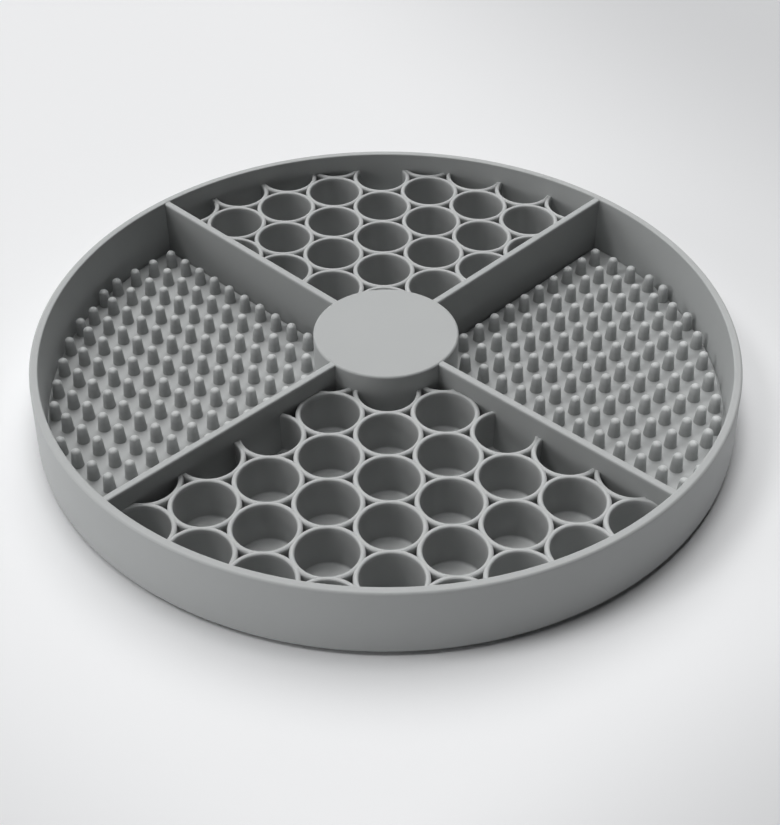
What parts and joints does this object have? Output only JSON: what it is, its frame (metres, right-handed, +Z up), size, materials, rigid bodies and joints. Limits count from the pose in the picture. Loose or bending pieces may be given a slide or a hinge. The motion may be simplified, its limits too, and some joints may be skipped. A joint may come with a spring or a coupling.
{
  "type": "lick mat",
  "caption": "Round silicone lick mat with a raised rim and hub, crossed dividers, round cells in two sectors and tapered nubs in the other two.",
  "frame": {"origin": "centre of the underside, on the surface that the mat stands on", "axes": "+Z up out of the bowl, -Y towards the front sector of cells, +X to the right"},
  "size_m": [0.2016, 0.2016, 0.0212],
  "materials": {
    "silicone_body": "matt moulded silicone",
    "silicone_cells": "matt moulded silicone",
    "silicone_nubs": "matt moulded silicone"
  },
  "bodies": {
    "root": {"floor_disc": "silicone_body", "rim_wall": "silicone_body", "centre_hub": "silicone_body", "divider_front_left": "silicone_body", "divider_front_right": "silicone_body", "divider_rear_left": "silicone_body", "divider_rear_right": "silicone_body", "cell_grid_front": "silicone_cells", "cell_grid_rear": "silicone_cells", "nub_pad_left": "silicone_nubs", "nub_pad_right": "silicone_nubs", "nubs_left": "silicone_nubs", "nubs_right": "silicone_nubs", "foot_ring": "silicone_body", "centre_foot": "silicone_body"}
  },
  "joints": []
}
